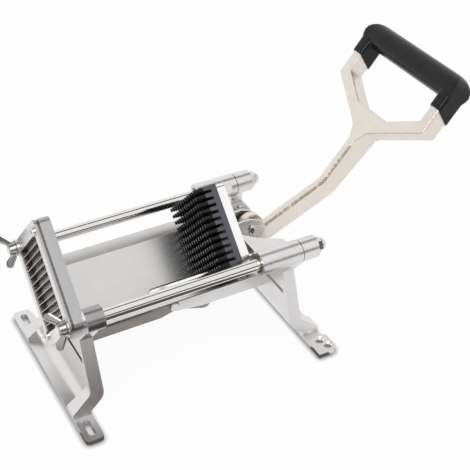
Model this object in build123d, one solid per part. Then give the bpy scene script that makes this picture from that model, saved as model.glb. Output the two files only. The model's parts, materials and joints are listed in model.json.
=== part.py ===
from build123d import *
import os
from math import cos, radians, sin, sqrt, tan

# French fry cutter: a potato lies in a V-shaped tray, and a lever drives a pusher along
# two guide rods and presses it through a square grid of blades that stands on one corner.
# Lengths in millimetres, angles in degrees. X runs from the blades to the handle, Y across,
# Z up. The origin is on the floor, midway between the bolt slots of the front foot.
# Unless a name says otherwise, heights are measured from the axes of the guide rods.

# ---- overall layout
ROD_HEIGHT = 105.8          # floor to the axes of the guide rods
ROD_SPAN = 123.4            # between the axes of the two guide rods
ROD_D = 11.0
STUD_D = 8.0                # threaded ends of the rods
FACE_X = 11.0               # outward face of the front leg casting
LEG_T = 12.0                # thickness of a leg casting
LEG_GAP = 187.7             # clear length between the two leg castings
FIT = 0.05                  # radial clearance of a shaft in its hole
AIR = 0.3                   # clearance of parts that pass each other

# ---- blade head
CELL = 6.35                 # width of one fry
CELLS = 12                  # fries along each side of the grid
HEAD_EDGE = 5.37            # rod's axis to the side corner of the head
HEAD_CORNER = 7.0
OPENING_CORNER = 2.5
CASSETTE_T = 2.3
CLAMP_T = 2.1
HOLDER_T = 9.6
BLADE_T = 0.7
BLADE_SET_BACK = 1.5        # from the front of the head to the front blades
BLADE_DEPTH = 5.4           # of each of the two crossing layers
HEAD_SCREW_D = 5.0
HEAD_SCREW_HEAD_D = 8.6
HEAD_SCREW_HEAD_T = 2.6
HEAD_SCREW_IN = 10.0        # corner of the head to the screw's axis

# ---- wing nuts
WASHER_D = 16.0
WASHER_T = 1.2
HUB_D = 13.0
HUB_LENGTH = 9.0
WING_T = 2.6
WING_REACH = 17.0           # from the axis
WING_RISE = 14.0            # from the seat
WING_TURN = 28.0            # angle from the Y axis
STUD_OUT = 3.0              # thread showing past a wing nut's hub

# ---- leg castings
BOSS_D = 20.7
FRONT_BOSS_LENGTH = 16.2
REAR_BOSS_IN = 5.9          # from the casting's inner face back to the boss
REAR_BOSS_OUT = 10.0        # the boss stands proud of the outward face
WAIST_IN = 16.7             # rod's axis in to the casting's waist
WAIST_Z = -34.0
LEG_SPLAY = 17.8            # degrees
LEG_RIB = 5.1               # width of a leg beside the window
WINDOW_TOP = -52.8
WINDOW_BOTTOM = -57.9
APRON_RISE = 22.0           # height above the foot at which the web's inner face curves away
APRON_END_Y = 50.0
APRON_R = 10.0              # round where the web stands on the foot
RIB_LAP = 2.0               # the web runs this far into the legs
SWEEP = 35.0                # degrees below the horizontal, of a leg's swept end
OUTER_KNEE = 17.4           # above the foot, where the outward face starts to sweep out
INNER_KNEE = 12.8
OUTER_KNEE_R = 6.0
INNER_KNEE_R = 10.0
WEB_STEP = 0.6              # the web lies this far inside the legs' inner face

# ---- feet
FOOT_T = 5.5
FOOT_W = 16.7
FRONT_FOOT_HALF = 95.9
REAR_FOOT_HALF = 95.4
FOOT_CORNER = 4.0
SLOT_END = 15.4             # foot's end to the middle of its slot
SLOT_LENGTH = 19.0
SLOT_W = 6.3
REAR_FOOT_IN = 0.2          # foot's inner edge beyond the casting's outward face
TOE_LENGTH = 25.4
TOE_OUT = 4.0
TOE_CHAMFER = 5.0
HOLE_D = 6.0
HOLE_SINK_D = 9.5
HOLE_SINK = 2.0
INNER_HOLE = (10.8, 17.8)   # from the foot's inner edge, and in from its end
OUTER_HOLE = (14.3, 8.9)

# ---- cap nuts at the rear
CAP_FLATS = 13.0
CAP_HEX_T = 5.5
CAP_DOME_D = 11.6

# ---- tray
SHEET = 1.2
TROUGH_DROP = 1.1           # the trough's corner lies below the opening's corner
FLANGE_Z = -17.0
FLANGE_IN = 6.6             # rod's axis in to the edge of a flange
TRAY_SLOT_W = 14.0
TRAY_SLOT_START = 84.2      # from the front casting's outward face
TRAY_SLOT_LENGTH = 99.0
TRAY_SCREW_D = 4.0
TRAY_SCREW_HEAD_D = 7.6
TRAY_SCREW_Y = 47.5
TRAY_SCREW_LENGTH = 11.0

# ---- carriage
STOP_GAP = 0.8              # sleeve to rear boss with the pusher fully back
SLEEVE_D = 21.5
SLEEVE_LENGTH = 40.3
BUSH_D = 15.0
PLATE_LEAD = 10.3           # the plate's front face is ahead of the sleeves
PLATE_T = 8.0
PLATE_SIDE = 72.4
PLATE_CORNER = 5.0
ARM_TOP = 7.5
ARM_T = 5.0
WALL_AT = 1.0               # from the sleeves' front end to the carriage's front walls
WALL_T = 4.0
WALL_FOOT = -8.0
SIDE_SCREW_AT = (43.5, -2.7)
SIDE_SCREW_D = 5.0
SIDE_SCREW_FLATS = 8.0
SIDE_SCREW_HEAD_T = 3.2

# ---- pusher
PUSHER_BASE_T = 6.0
FINGER_W = 4.2
FINGER_LENGTH = 16.0
PUSHER_CORNER = 1.5
PUSHER_SCREW_D = 5.0
PUSHER_SCREW_HEAD_D = 9.0
PUSHER_SCREW_HEAD_T = 3.0
PUSHER_SCREW_AT = 17.5      # across and up from the middle

# ---- clevis bracket and lever pivot
PIVOT_BACK = 27.5           # plate's rear face to the lever's pivot
PIVOT_Z = -4.5
CLEVIS_HALF = 10.0
EAR_T = 2.5
CLEVIS_BASE_T = 2.5
CLEVIS_TOP = 8.5
CLEVIS_FOOT = -20.0
EAR_R = 10.5
PIVOT_D = 6.5
PIVOT_WASHER_D = 12.5
PIVOT_WASHER_T = 1.2
PIVOT_HEAD_FLATS = 9.0
PIVOT_HEAD_T = 3.6
PIVOT_NUT_T = 5.0
CLEVIS_SCREW_D = 5.0
CLEVIS_SCREW_HEAD_D = 8.0
CLEVIS_SCREW_HEAD_T = 2.6
CLEVIS_SCREW_ENDS = 5.0     # from the bracket's top and foot

# ---- lever, measured from its pivot
LEVER_T = 8.8
TAIL_T = 5.2
BUSH_WALL = 2.5
HUB_R = 12.0
HIP = (1.5, -17.9)
HIP_R = 9.05
BEND = (82.5, 18.4)
BEND_R = 9.6
NECK = (122.0, 59.8)
NECK_R = 12.0
KNEE = (-19.5, -51.5)
KNEE_R = 6.5
TAIL = (-51.5, -68.5)
TAIL_R = 7.5

# ---- handle loop, in a plane that leans back with the neck
LOOP_AT = (155.8, 105.0)    # middle of the arms' ends, from the pivot
LOOP_LEAN = 50.0            # degrees above the horizontal
LOOP_DEPTH = 18.0
ARM_Y = 61.5
ARM_W = 11.0
ARM_END = 8.0               # the arms end inside the grip's sleeves
SHOULDER_U = -20.5          # outer corners of the loop
THROAT = (11.0, -51.5)      # where the loop flares out of the neck
ROOT_U = -64.0
LOOP_FLOOR_U = -32.4
LOOP_FLOOR_Y = 21.5
ARMPIT_U = -13.0
LOOP_ROUND = 4.0
THROAT_ROUND = 14.0
CORE_D = 8.0
CORE_IN = 12.0              # depth of the core in each arm
CORE_BEND = 14.0
GRIP_D = 25.0
GRIP_RISE = 27.0            # from the loop's middle to the axis of the grip
GRIP_CORNER = 14.0
SLEEVE_WALL = 1.8           # the grip's square sleeves, over the sides of the arms
SLEEVE_BACK_WALL = 2.5      # and over their front and back
SLEEVE_ROUND = 4.0
SLEEVE_FRONT = 4.3          # the sleeves end on a slant, from here at the front
SLEEVE_BACK = -4.2

# ---- fulcrum under the tray
FULCRUM_REACH = 95.0        # forward of the rear casting's inner face
FULCRUM_Z = -61.8
FULCRUM_D = 7.0
FULCRUM_HEAD_D = 8.6
FULCRUM_HEAD_T = 2.6
FULCRUM_NUT_FLATS = 11.0
FULCRUM_NUT_T = 4.0
LINK_T = 2.2
LINK_GAP = 7.2              # between the two link plates
LINK_R = 7.0
RIVET_D = 6.0
BRACKET_IN = 6.4            # inner face of a fulcrum arm, from the middle
BRACKET_T = 2.0
BRACKET_R = 8.0
BRACKET_DEEP = 16.0         # depth of an arm where it leaves the rear casting
BRACKET_LOW = -74.0
TIE_W = 9.0
TIE_T = 2.0
TIE_END_W = 5.5
TIE_STEP = 13.5             # from the fulcrum to the step
TIE_FOOT = 13.0
TIE_SCREW_D = 4.0
TIE_SCREW_HEAD_D = 7.4
TIE_SCREW_HEAD_T = 2.4
TIE_SCREW_LENGTH = 8.0

# ---- values worked out from those above
OPENING = CELL * CELLS
HEAD_X = FACE_X - HOLDER_T - CLAMP_T - CASSETTE_T
ROD_Y = ROD_SPAN / 2
HEAD_HALF = ROD_Y + HEAD_EDGE
HEAD_SIDE = (HEAD_HALF + HEAD_CORNER * (sqrt(2) - 1)) * sqrt(2)
FLANGE_Y = ROD_Y - FLANGE_IN
WAIST_Y = ROD_Y - WAIST_IN
FRONT_IN = FACE_X + LEG_T
REAR_IN = FRONT_IN + LEG_GAP
REAR_OUT = REAR_IN + LEG_T
FLOOR = -ROD_HEIGHT
SOLE = FLOOR + FOOT_T
APRON_END = SOLE + APRON_RISE
TROUGH_Z = -(OPENING / sqrt(2) + TROUGH_DROP)
FOLD_Y = FLANGE_Z - TROUGH_Z
BOSS_X = REAR_IN + REAR_BOSS_IN
BOSS_END = REAR_OUT + REAR_BOSS_OUT
SLEEVE_END = BOSS_X - STOP_GAP
SLEEVE_X = SLEEVE_END - SLEEVE_LENGTH
PLATE_X = SLEEVE_X - PLATE_LEAD
PLATE_REAR = PLATE_X + PLATE_T
PUSHER_X = PLATE_X - PUSHER_BASE_T
WALL_X = SLEEVE_X + WALL_AT
PIVOT = (PLATE_REAR + PIVOT_BACK, PIVOT_Z)
TAIL_AT = (PIVOT[0] + TAIL[0], PIVOT[1] + TAIL[1])
FULCRUM = (REAR_IN - FULCRUM_REACH, FULCRUM_Z)
EAR_IN = CLEVIS_HALF - EAR_T
TIE_IN = BRACKET_IN + BRACKET_T
TIE_OUT = TIE_IN + TIE_T

SIDES = {"near": -1, "far": 1}
os.makedirs("parts", exist_ok=True)


# ---- drawing planes and small helpers

def across(x=0.0):
    """Plane square to X: sketch x is Y, sketch y is the height above the rod axes."""
    return Plane(origin=(x, 0, ROD_HEIGHT), x_dir=(0, 1, 0), z_dir=(1, 0, 0))


def along(y=0.0):
    """Plane square to Y: sketch x is X, sketch y is the height above the rod axes."""
    return Plane(origin=(0, y, ROD_HEIGHT), x_dir=(1, 0, 0), z_dir=(0, -1, 0))


def rod(x1, x2, diameter, y=0.0, z=0.0):
    """Round bar along X between two stations."""
    return extrude(across(x1) * Pos(y, z) * Circle(diameter / 2), amount=x2 - x1)


def pin(y1, y2, diameter, at):
    """Round bar along Y between two stations, at a point (x, height)."""
    return extrude(along(y1) * Pos(*at) * Circle(diameter / 2), amount=-(y2 - y1))


def hexagon(flats):
    return RegularPolygon(radius=flats / sqrt(3), side_count=6)


def slab(shape, y1, y2):
    """A side-view shape given thickness from y1 to y2."""
    return extrude(along(y1) * shape, amount=-(y2 - y1))


def mid_slab(shape, thickness):
    return extrude(along() * shape, amount=thickness / 2, both=True)


def bar(p, p_radius, q, q_radius):
    """Side view of a bar with round ends, tapering from p to q."""
    ends = (Pos(*p) * Circle(p_radius)).edges() + (Pos(*q) * Circle(q_radius)).edges()
    return make_hull(ends)


def both_sides(shape):
    return shape + mirror(shape, about=Plane.XZ)


def diamond(side, corner):
    """Square stood on one corner, in the sketch plane."""
    return Rot(0, 0, 45) * RectangleRounded(side, side, corner)


def plate(x, thickness, side, corner):
    return extrude(across(x) * diamond(side, corner), amount=thickness)


def from_pivot(point):
    return (PIVOT[0] + point[0], PIVOT[1] + point[1])


NODES = {}


def keep(name, *solids):
    NODES[name] = list(solids)


# ---- blade head

def head_layer(x, thickness):
    """One layer of the head: rim, opening, holes for the rod studs and the two screws."""
    layer = plate(x, thickness, HEAD_SIDE, HEAD_CORNER)
    layer -= plate(x, thickness, OPENING, OPENING_CORNER)
    for side in SIDES.values():
        layer -= rod(x, x + thickness, STUD_D + 2 * FIT, y=side * ROD_Y)
    for end in (-1, 1):
        layer -= rod(x, x + thickness, HEAD_SCREW_D + 2 * FIT, z=end * (HEAD_HALF - HEAD_SCREW_IN))
    return layer


def blade_row(x, turn):
    """Parallel blades across the opening, one between each two cells."""
    blades = []
    for index in range(1, CELLS):
        offset = index * CELL - OPENING / 2
        strip = Rot(0, 0, turn) * Pos(0, offset) * Rectangle(OPENING, BLADE_T)
        blades.append(extrude(across(x) * strip, amount=BLADE_DEPTH))
    return blades


def head_screw(end):
    z = end * (HEAD_HALF - HEAD_SCREW_IN)
    shank = rod(HEAD_X, FACE_X, HEAD_SCREW_D, z=z)
    head = rod(HEAD_X - HEAD_SCREW_HEAD_T, HEAD_X, HEAD_SCREW_HEAD_D, z=z)
    rim = head.faces().sort_by(Axis.X)[0].edges()
    head = fillet(rim, HEAD_SCREW_HEAD_T * 0.6)
    socket = across(HEAD_X - HEAD_SCREW_HEAD_T) * Pos(0, z) * hexagon(HEAD_SCREW_D * 0.6)
    return shank + head - extrude(socket, amount=HEAD_SCREW_HEAD_T * 0.7)


def make_head():
    keep("blade_cassette", head_layer(HEAD_X, CASSETTE_T))
    keep("clamp_plate", head_layer(HEAD_X + CASSETTE_T, CLAMP_T))
    keep("blade_holder", head_layer(FACE_X - HOLDER_T, HOLDER_T))
    first = HEAD_X + BLADE_SET_BACK
    keep("blades_front", *blade_row(first, -45))
    keep("blades_rear", *blade_row(first + BLADE_DEPTH, 45))
    keep("head_screws", head_screw(-1), head_screw(1))


def wing_nut(side):
    """Hub on the rod's stud, with two wings that stand out and forward."""
    y = side * ROD_Y
    seat = HEAD_X - WASHER_T
    hub = extrude(across(seat) * Pos(y, 0) * Circle(HUB_D / 2), amount=-HUB_LENGTH, taper=6)
    inner = HUB_D / 2 - 2
    wing = Polyline((inner, -1), (HUB_D / 2 + 0.5, -1), (WING_REACH, -WING_RISE * 0.6),
                    (WING_REACH - 2, -WING_RISE), (WING_REACH * 0.62, 1 - WING_RISE),
                    (inner, -HUB_LENGTH * 0.7), close=True)
    upright = Plane(origin=(seat, y, ROD_HEIGHT), x_dir=(0, 1, 0), z_dir=(0, 0, -1))
    leaf = extrude(upright * make_face(wing), amount=WING_T / 2, both=True)
    axis = Axis((seat, y, ROD_HEIGHT), (1, 0, 0))
    wings = leaf.rotate(axis, WING_TURN) + leaf.rotate(axis, WING_TURN + 180)
    return hub + wings - rod(seat - WING_RISE, seat, STUD_D + 2 * FIT, y=y)


def make_wing_nuts():
    for name, side in SIDES.items():
        keep(f"wing_nut_{name}", wing_nut(side))
        washer = rod(HEAD_X - WASHER_T, HEAD_X, WASHER_D, y=side * ROD_Y)
        keep(f"wing_washer_{name}",
             washer - rod(HEAD_X - WASHER_T, HEAD_X, STUD_D + 2 * FIT, y=side * ROD_Y))


# ---- guide rods and cap nuts

def make_rods():
    front_end = HEAD_X - WASHER_T - HUB_LENGTH - STUD_OUT
    for name, side in SIDES.items():
        y = side * ROD_Y
        body = rod(FACE_X, BOSS_END, ROD_D, y=y)
        front_stud = rod(front_end, FACE_X, STUD_D, y=y)
        rear_stud = rod(BOSS_END, BOSS_END + CAP_HEX_T, STUD_D, y=y)
        keep(f"guide_rod_{name}", body + front_stud + rear_stud)
        hex_part = extrude(across(BOSS_END) * Pos(y, 0) * hexagon(CAP_FLATS), amount=CAP_HEX_T)
        dome = Pos(BOSS_END + CAP_HEX_T, y, ROD_HEIGHT) * Sphere(CAP_DOME_D / 2)
        dome &= rod(BOSS_END + CAP_HEX_T, BOSS_END + CAP_HEX_T + CAP_DOME_D, CAP_DOME_D, y=y)
        cap = hex_part + dome
        keep(f"cap_nut_{name}",
             cap - rod(BOSS_END, BOSS_END + CAP_HEX_T, STUD_D + 2 * FIT, y=y))


# ---- leg castings, drawn with the outward face at x = 0 and the tray's side at x = LEG_T

def leg_side_view(foot_out, foot_in):
    """Side view of a leg: upright, then a straight sweep out to the foot."""
    slope = tan(radians(SWEEP))
    outer = SOLE + OUTER_KNEE
    inner = SOLE + INNER_KNEE
    shape = make_face(Polyline(
        (0, ROD_HEIGHT), (0, outer), (-foot_out, outer - foot_out * slope), (-foot_out, SOLE),
        (-foot_in, SOLE), (-foot_in, inner - (foot_in + LEG_T) * slope), (LEG_T, inner),
        (LEG_T, ROD_HEIGHT), close=True))
    shape = fillet(shape.vertices().sort_by_distance((0, outer))[0], OUTER_KNEE_R)
    return fillet(shape.vertices().sort_by_distance((LEG_T, inner))[0], INNER_KNEE_R)


def apron_side_view(foot_in):
    """Side view of the web below the window: upright, with a round onto the foot's top."""
    inner = LEG_T - WEB_STEP
    outline = Curve() + [
        Line((0, WINDOW_BOTTOM), (0, SOLE + APRON_R)),
        TangentArc((0, SOLE + APRON_R), (-APRON_R, SOLE), tangent=(0, -1)),
        Line((-APRON_R, SOLE), (-foot_in, SOLE)),
        TangentArc((inner, APRON_END), (-foot_in, SOLE), tangent=(0, -1)),
        Line((inner, APRON_END), (inner, WINDOW_BOTTOM)),
        Line((inner, WINDOW_BOTTOM), (0, WINDOW_BOTTOM)),
    ]
    return make_face(outline)


def leg_outline():
    """Front view of one half: the neck below the boss, the seat of the tray, and the leg."""
    splay = tan(radians(LEG_SPLAY))
    under = SHEET * sqrt(2)
    seat_z = FLANGE_Z - SHEET
    seat_y = seat_z - TROUGH_Z + under
    half_boss = BOSS_D / 2 - 1

    def edge(z):
        return WAIST_Y + (WAIST_Z - z) * splay

    outline = Polyline(
        (WINDOW_TOP - TROUGH_Z + under, WINDOW_TOP),
        (seat_y, seat_z),
        (FLANGE_Y + AIR, seat_z),
        (FLANGE_Y + AIR, -1),
        (ROD_Y, 0),
        (ROD_Y + half_boss * sin(radians(48)), -half_boss * cos(radians(48))),
        (WAIST_Y, WAIST_Z),
        (edge(SOLE), SOLE),
        (APRON_END_Y, SOLE),
        (APRON_END_Y, APRON_END),
        (edge(WINDOW_BOTTOM) - LEG_RIB, WINDOW_BOTTOM),
        (edge(WINDOW_TOP) - LEG_RIB, WINDOW_TOP),
        close=True)
    return make_face(outline)


def casting(foot_out, foot_in, boss_x, boss_length):
    """Bosses, tray seat, legs and the web between them, without the foot."""
    upright = extrude(along() * leg_side_view(foot_out, foot_in), amount=ROD_SPAN, both=True)
    half = extrude(across(-foot_out) * leg_outline(), amount=foot_out + LEG_T) & upright
    half += slab(apron_side_view(foot_in), 0, APRON_END_Y + RIB_LAP)
    half += rod(boss_x, boss_x + boss_length, BOSS_D, y=ROD_Y)
    return both_sides(half)


def bored(body, x1, x2):
    for side in SIDES.values():
        body -= rod(x1, x2, ROD_D + 2 * FIT, y=side * ROD_Y)
    return body


def tray_screw_holes(body, x):
    for side in SIDES.values():
        hole = Pos(x, side * TRAY_SCREW_Y, ROD_HEIGHT + FLANGE_Z)
        body -= hole * Cylinder(TRAY_SCREW_D / 2 + FIT, TRAY_SCREW_LENGTH,
                                align=(Align.CENTER, Align.CENTER, Align.MAX))
    return body


def tie_screw_at(side):
    return (side * (TIE_IN + TIE_FOOT / 2), FULCRUM_Z - TIE_W / 2)


def front_foot():
    """Straight bar with a bolt slot at each end, lying along Y."""
    bar_shape = RectangleRounded(FOOT_W, 2 * FRONT_FOOT_HALF, FOOT_CORNER)
    for side in SIDES.values():
        bar_shape -= Pos(0, side * (FRONT_FOOT_HALF - SLOT_END)) * Rot(0, 0, 90) * SlotOverall(SLOT_LENGTH, SLOT_W)
    return extrude(bar_shape, amount=FOOT_T)


def make_front_leg():
    foot_out = FACE_X + FOOT_W / 2
    body = Pos(FACE_X, 0, 0) * casting(foot_out, FACE_X - FOOT_W / 2, 0, FRONT_BOSS_LENGTH)
    body -= plate(FACE_X, FRONT_BOSS_LENGTH, OPENING, OPENING_CORNER)
    body += front_foot()
    body = bored(body, FACE_X, FACE_X + FRONT_BOSS_LENGTH)
    body = tray_screw_holes(body, FACE_X + LEG_T / 2)
    for side in SIDES.values():
        y, z = tie_screw_at(side)
        body -= rod(FRONT_IN - TIE_SCREW_LENGTH, FRONT_IN, TIE_SCREW_D + 2 * FIT, y=y, z=z)
    keep("front_leg", body)


def rear_foot():
    """Bar along Y whose ends step back into toes, each with two countersunk holes."""
    inner = REAR_OUT + REAR_FOOT_IN
    outer = inner + FOOT_W
    toe = outer + TOE_OUT
    toe_y = REAR_FOOT_HALF - TOE_LENGTH
    half = Polyline((inner, 0), (outer, 0), (outer, toe_y), (toe, toe_y + TOE_OUT),
                    (toe, REAR_FOOT_HALF - TOE_CHAMFER), (toe - TOE_CHAMFER, REAR_FOOT_HALF),
                    (inner, REAR_FOOT_HALF), close=True)
    foot = extrude(make_face(half), amount=FOOT_T)
    for back, end in (INNER_HOLE, OUTER_HOLE):
        y = REAR_FOOT_HALF - end
        foot -= Pos(inner + back, y, 0) * Cylinder(HOLE_D / 2, 3 * FOOT_T)
        foot -= Pos(inner + back, y, FOOT_T - HOLE_SINK) * Cone(
            HOLE_D / 2, HOLE_SINK_D / 2, HOLE_SINK, align=(Align.CENTER, Align.CENTER, Align.MIN))
    return both_sides(foot)


def fulcrum_arm():
    """Thin arm of the rear casting that reaches forward below the tray to the fulcrum."""
    root = REAR_IN + LEG_T / 2
    eye = Pos(*FULCRUM) * Circle(BRACKET_R)
    beam = make_face(Polyline(
        (FULCRUM[0], FULCRUM_Z + BRACKET_R), (root, WINDOW_BOTTOM),
        (root, WINDOW_BOTTOM - BRACKET_DEEP), (FULCRUM[0] + FULCRUM_REACH / 3, BRACKET_LOW),
        (FULCRUM[0], FULCRUM_Z - BRACKET_R), close=True))
    arm = slab(eye + beam, BRACKET_IN, BRACKET_IN + BRACKET_T)
    return both_sides(arm)


def make_rear_leg():
    toe_reach = REAR_FOOT_IN + FOOT_W
    body = casting(toe_reach, REAR_FOOT_IN, -REAR_BOSS_OUT, LEG_T - REAR_BOSS_IN + REAR_BOSS_OUT)
    body = Pos(REAR_OUT, 0, 0) * mirror(body, about=Plane.YZ)
    for side in SIDES.values():
        body -= rod(REAR_IN - LEG_T, BOSS_X, SLEEVE_D + 4 * AIR, y=side * ROD_Y)
    body += rear_foot() + fulcrum_arm()
    body = bored(body, REAR_IN, BOSS_END)
    body = tray_screw_holes(body, REAR_OUT - LEG_T / 2)
    body -= pin(-TIE_OUT, TIE_OUT, FULCRUM_D + 2 * FIT, FULCRUM)
    keep("rear_leg", body)


# ---- tray

def make_tray():
    """One bent sheet: a square trough under the opening, with a flange on each side."""
    under = SHEET * sqrt(2)
    fold_under = FOLD_Y + SHEET * (sqrt(2) - 1)
    top = [(-FLANGE_Y, FLANGE_Z), (-FOLD_Y, FLANGE_Z), (0, TROUGH_Z), (FOLD_Y, FLANGE_Z),
           (FLANGE_Y, FLANGE_Z)]
    bottom = [(FLANGE_Y, FLANGE_Z - SHEET), (fold_under, FLANGE_Z - SHEET), (0, TROUGH_Z - under),
              (-fold_under, FLANGE_Z - SHEET), (-FLANGE_Y, FLANGE_Z - SHEET)]
    length = REAR_OUT - FACE_X - 2 * AIR
    sheet = extrude(across(FACE_X + AIR) * make_face(Polyline(*top, *bottom, close=True)), amount=length)
    middle = FACE_X + TRAY_SLOT_START + TRAY_SLOT_LENGTH / 2
    slot = Pos(middle, 0, ROD_HEIGHT + TROUGH_Z - 2 * under) * SlotOverall(TRAY_SLOT_LENGTH, TRAY_SLOT_W)
    sheet -= extrude(slot, amount=TRAY_SLOT_W)
    screws = []
    for x in (FACE_X + LEG_T / 2, REAR_OUT - LEG_T / 2):
        for side in SIDES.values():
            at = Pos(x, side * TRAY_SCREW_Y, ROD_HEIGHT + FLANGE_Z)
            sheet -= at * Cylinder(TRAY_SCREW_D / 2 + FIT, 4 * SHEET)
            shank = at * Cylinder(TRAY_SCREW_D / 2, TRAY_SCREW_LENGTH,
                                  align=(Align.CENTER, Align.CENTER, Align.MAX))
            head = at * Cylinder(TRAY_SCREW_HEAD_D / 2, SHEET * 1.5,
                                 align=(Align.CENTER, Align.CENTER, Align.MIN))
            screws.append(shank + fillet(head.edges().group_by(Axis.Z)[-1], SHEET))
    keep("tray", sheet)
    keep("tray_screws", *screws)


# ---- carriage and pusher

def carriage_arm():
    """Flat arm from the plate to the far sleeve, with an upright wall along its front."""
    outline = Polyline(
        (PLATE_REAR - 1, CLEVIS_HALF + 10), (PLATE_REAR - 1, PLATE_SIDE / 2 - 6),
        (WALL_X, PLATE_SIDE / 2 - 3), (WALL_X, ROD_Y), (SLEEVE_END - 6, ROD_Y),
        (SLEEVE_END - 8, ROD_Y - SLEEVE_D / 2 - 3), (PLATE_REAR + 15, PLATE_SIDE / 2 - 1),
        (PLATE_REAR + 7, CLEVIS_HALF + 17), close=True)
    flat = Pos(0, 0, ROD_HEIGHT + ARM_TOP - ARM_T) * make_face(outline)
    middle = (PLATE_SIDE / 2 - 6 + ROD_Y) / 2
    wall = Pos(middle, (ARM_TOP + WALL_FOOT) / 2) * Rectangle(
        ROD_Y - PLATE_SIDE / 2 + 6, ARM_TOP - WALL_FOOT)
    return extrude(flat, amount=ARM_T) + extrude(across(WALL_X) * wall, amount=WALL_T)


def side_screw(side):
    """Screw through the wall and the plate's corner into the pusher, head at the rear."""
    y, z = side * SIDE_SCREW_AT[0], SIDE_SCREW_AT[1]
    rear = WALL_X + WALL_T
    head = extrude(across(rear) * Pos(y, z) * hexagon(SIDE_SCREW_FLATS), amount=SIDE_SCREW_HEAD_T)
    return rod(PUSHER_X, rear, SIDE_SCREW_D, y=y, z=z) + head


def pusher_screw_spots():
    spots = []
    for a in (-1, 1):
        for b in (-1, 1):
            spots.append((a * PUSHER_SCREW_AT, b * PUSHER_SCREW_AT))
    return spots


def clevis_screw_heights():
    return (CLEVIS_TOP - CLEVIS_SCREW_ENDS, CLEVIS_FOOT + CLEVIS_SCREW_ENDS)


def make_carriage():
    """Diamond plate, two arms and two sleeves in one casting, with bushes in the sleeves."""
    arm = carriage_arm() + rod(SLEEVE_X, SLEEVE_END, SLEEVE_D, y=ROD_Y)
    body = plate(PLATE_X, PLATE_T, PLATE_SIDE, PLATE_CORNER) + both_sides(arm)
    for name, side in SIDES.items():
        y = side * ROD_Y
        body -= rod(SLEEVE_X, SLEEVE_END, BUSH_D + 2 * FIT, y=y)
        bush = rod(SLEEVE_X, SLEEVE_END, BUSH_D, y=y) - rod(SLEEVE_X, SLEEVE_END, ROD_D + 2 * FIT, y=y)
        keep(f"sleeve_bush_{name}", bush)
    for spot in pusher_screw_spots():
        body -= rod(PLATE_X, PLATE_REAR, PUSHER_SCREW_D + 2 * FIT, y=spot[0], z=spot[1])
    for z in clevis_screw_heights():
        body -= rod(PLATE_X, PLATE_REAR, CLEVIS_SCREW_D + 2 * FIT, z=z)
    for side in SIDES.values():
        body -= rod(PLATE_X, WALL_X + WALL_T, SIDE_SCREW_D + 2 * FIT,
                    y=side * SIDE_SCREW_AT[0], z=SIDE_SCREW_AT[1])
    keep("carriage", body)
    keep("side_screws", side_screw(-1), side_screw(1))


def make_pusher():
    """Black block whose fingers line up with the cells of the blade grid."""
    side = (CELLS - 1) * CELL + FINGER_W
    block = plate(PUSHER_X - FINGER_LENGTH, FINGER_LENGTH + PUSHER_BASE_T, side, PUSHER_CORNER)
    for turn in (-45, 45):
        for index in range(1, CELLS):
            offset = index * CELL - OPENING / 2
            groove = Rot(0, 0, turn) * Pos(0, offset) * Rectangle(2 * side, CELL - FINGER_W)
            block -= extrude(across(PUSHER_X - FINGER_LENGTH) * groove, amount=FINGER_LENGTH)
    screws = []
    for spot in pusher_screw_spots():
        block -= rod(PUSHER_X, PLATE_X, PUSHER_SCREW_D + 2 * FIT, y=spot[0], z=spot[1])
        shank = rod(PUSHER_X, PLATE_REAR, PUSHER_SCREW_D, y=spot[0], z=spot[1])
        head = rod(PLATE_REAR, PLATE_REAR + PUSHER_SCREW_HEAD_T, PUSHER_SCREW_HEAD_D, y=spot[0], z=spot[1])
        screws.append(shank + head)
    for side in SIDES.values():
        block -= rod(PUSHER_X, PLATE_X, SIDE_SCREW_D + 2 * FIT,
                     y=side * SIDE_SCREW_AT[0], z=SIDE_SCREW_AT[1])
    keep("pusher_block", block)
    keep("pusher_screws", *screws)


# ---- clevis and lever pivot

def ear_shape():
    corners = Polyline((PLATE_REAR, CLEVIS_FOOT), (PLATE_REAR, CLEVIS_TOP))
    crown = Pos(PIVOT[0] - EAR_R / 2, CLEVIS_TOP - 4) * Circle(4)
    tip = Pos(*PIVOT) * Circle(EAR_R)
    return make_hull(corners.edges() + crown.edges() + tip.edges())


def make_clevis():
    base = slab(make_face(Polyline(
        (PLATE_REAR, CLEVIS_FOOT), (PLATE_REAR + CLEVIS_BASE_T, CLEVIS_FOOT),
        (PLATE_REAR + CLEVIS_BASE_T, CLEVIS_TOP), (PLATE_REAR, CLEVIS_TOP), close=True)),
        -CLEVIS_HALF, CLEVIS_HALF)
    bracket = base + both_sides(slab(ear_shape(), EAR_IN, CLEVIS_HALF))
    bracket -= pin(-CLEVIS_HALF, CLEVIS_HALF, PIVOT_D + 2 * FIT, PIVOT)
    screws = []
    for z in clevis_screw_heights():
        seat = PLATE_REAR + CLEVIS_BASE_T
        bracket -= rod(PLATE_REAR, seat, CLEVIS_SCREW_D + 2 * FIT, z=z)
        head = rod(seat, seat + CLEVIS_SCREW_HEAD_T, CLEVIS_SCREW_HEAD_D, z=z)
        screws.append(rod(PLATE_X, seat, CLEVIS_SCREW_D, z=z) + head)
    keep("clevis_bracket", bracket)
    keep("clevis_screws", *screws)


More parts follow.
